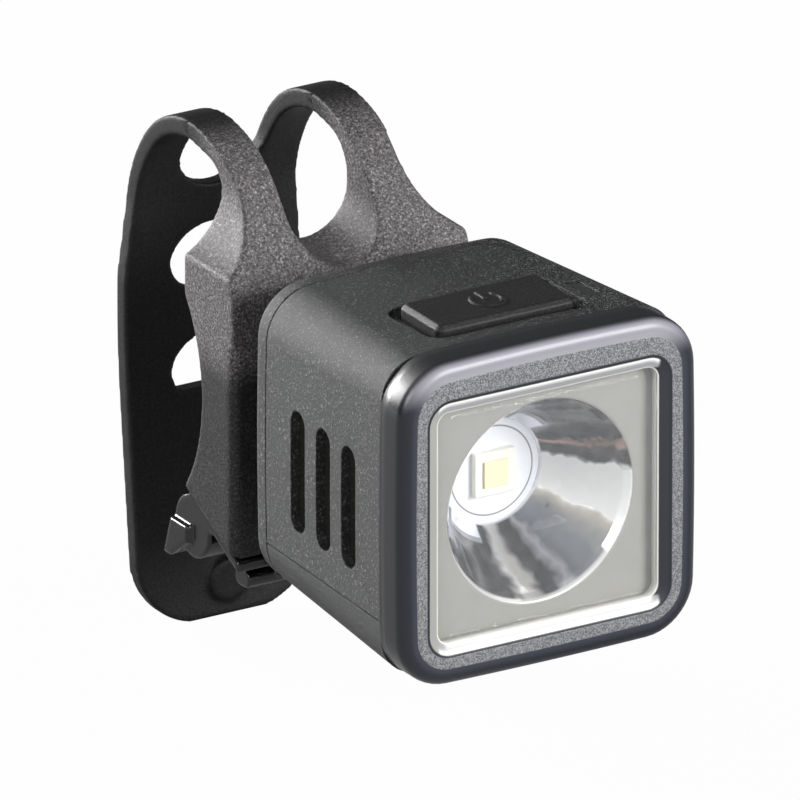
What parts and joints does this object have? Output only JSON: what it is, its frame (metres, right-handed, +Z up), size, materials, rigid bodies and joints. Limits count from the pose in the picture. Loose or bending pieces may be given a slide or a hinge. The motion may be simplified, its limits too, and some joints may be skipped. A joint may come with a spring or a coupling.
{
  "type": "bike headlight",
  "caption": "Compact cube-shaped rechargeable bike headlight with a square lens, parabolic reflector, top button and a two-armed rubber strap for the handlebar.",
  "frame": {"origin": "middle of the handlebar's axis where the light is strapped on", "axes": "+Z up, the beam leaves along -Y, +X to the right as a person faces the lens; the handlebar runs along X"},
  "size_m": [0.033, 0.0639, 0.0555],
  "materials": {
    "front_lens": "clear smoked polycarbonate, polished, frosted band inside the skirt",
    "lens_seal": "matte silicone",
    "reflector": "vacuum metallised, polished bowl and satin flange",
    "led_phosphor": "pale yellow phosphor",
    "led_package": "white ceramic",
    "led_board": "white solder mask on aluminium",
    "heat_sink": "pressed sheet",
    "heat_sink_screws": "zinc plated",
    "main_housing": "fine spark-eroded texture",
    "bottom_cover": "fine spark-eroded texture",
    "rear_cap": "fine texture",
    "rear_cap_screws": "black zinc",
    "power_button": "satin silicone",
    "switch_plunger": "satin",
    "switch_case": "pressed",
    "indicator_lens": "smoked light pipe",
    "status_led": "white package",
    "side_window_right": "smoked, polished",
    "side_window_left": "smoked, polished",
    "battery": "foil pouch with a plain wrap",
    "front_foam_pad": "foam",
    "rear_foam_pad": "foam",
    "charge_socket": "folded sheet",
    "port_cover": "matte",
    "mount_bracket": "polished",
    "latch_pin": "ground",
    "release_latch": "polished with ribs",
    "strap_saddle": "matte, finely speckled",
    "strap_ladder": "matte",
    "strap_hook": "polished",
    "mount_screws": "black zinc",
    "main_board": "green solder mask",
    "charge_board": "green solder mask",
    "board_flex": "amber film",
    "battery_leads": "sleeved",
    "led_leads": "sleeved"
  },
  "bodies": {
    "light": {"front_lens": "front_lens", "lens_seal": "lens_seal", "reflector": "reflector", "led_phosphor": "led_phosphor", "led_package": "led_package", "led_board": "led_board", "heat_sink": "heat_sink", "heat_sink_screws": "heat_sink_screws", "main_housing": "main_housing", "bottom_cover": "bottom_cover", "rear_cap": "rear_cap", "rear_cap_screws": "rear_cap_screws", "switch_case": "switch_case", "indicator_lens": "indicator_lens", "status_led": "status_led", "side_window_right": "side_window_right", "side_window_left": "side_window_left", "battery": "battery", "front_foam_pad": "front_foam_pad", "rear_foam_pad": "rear_foam_pad", "charge_socket": "charge_socket", "mount_bracket": "mount_bracket", "latch_pin": "latch_pin", "strap_saddle": "strap_saddle", "strap_hook": "strap_hook", "mount_screws": "mount_screws", "main_board": "main_board", "charge_board": "charge_board", "board_flex": "board_flex", "battery_leads": "battery_leads", "led_leads": "led_leads"},
    "button": {"power_button": "power_button", "switch_plunger": "switch_plunger"},
    "port_flap": {"port_cover": "port_cover"},
    "latch": {"release_latch": "release_latch"},
    "strap": {"strap_ladder": "strap_ladder"}
  },
  "joints": [
    {"name": "button_press", "type": "slide", "parent": "light", "child": "button", "axis": [0, 0, -1], "range_m": [0, 0.0004], "stiffness_N_per_m": 600, "springref_m": -0.001},
    {"name": "port_cover_hinge", "type": "hinge", "parent": "light", "child": "port_flap", "pos_m": [0, -0.03895, -0.01367], "axis": [1, 0, 0], "range_deg": [0, 100], "stiffness_Nm_per_rad": 0.002, "springref_deg": -17.19},
    {"name": "latch_release", "type": "hinge", "parent": "light", "child": "latch", "pos_m": [0, -0.024, -0.0112], "axis": [-1, 0, 0], "range_deg": [0, 6], "stiffness_Nm_per_rad": 0.05, "springref_deg": -5.73},
    {"name": "strap_swing", "type": "hinge", "parent": "light", "child": "strap", "pos_m": [0, -0.00661, 0.0245], "axis": [1, 0, 0], "range_deg": [0, 75], "stiffness_Nm_per_rad": 0.003}
  ]
}
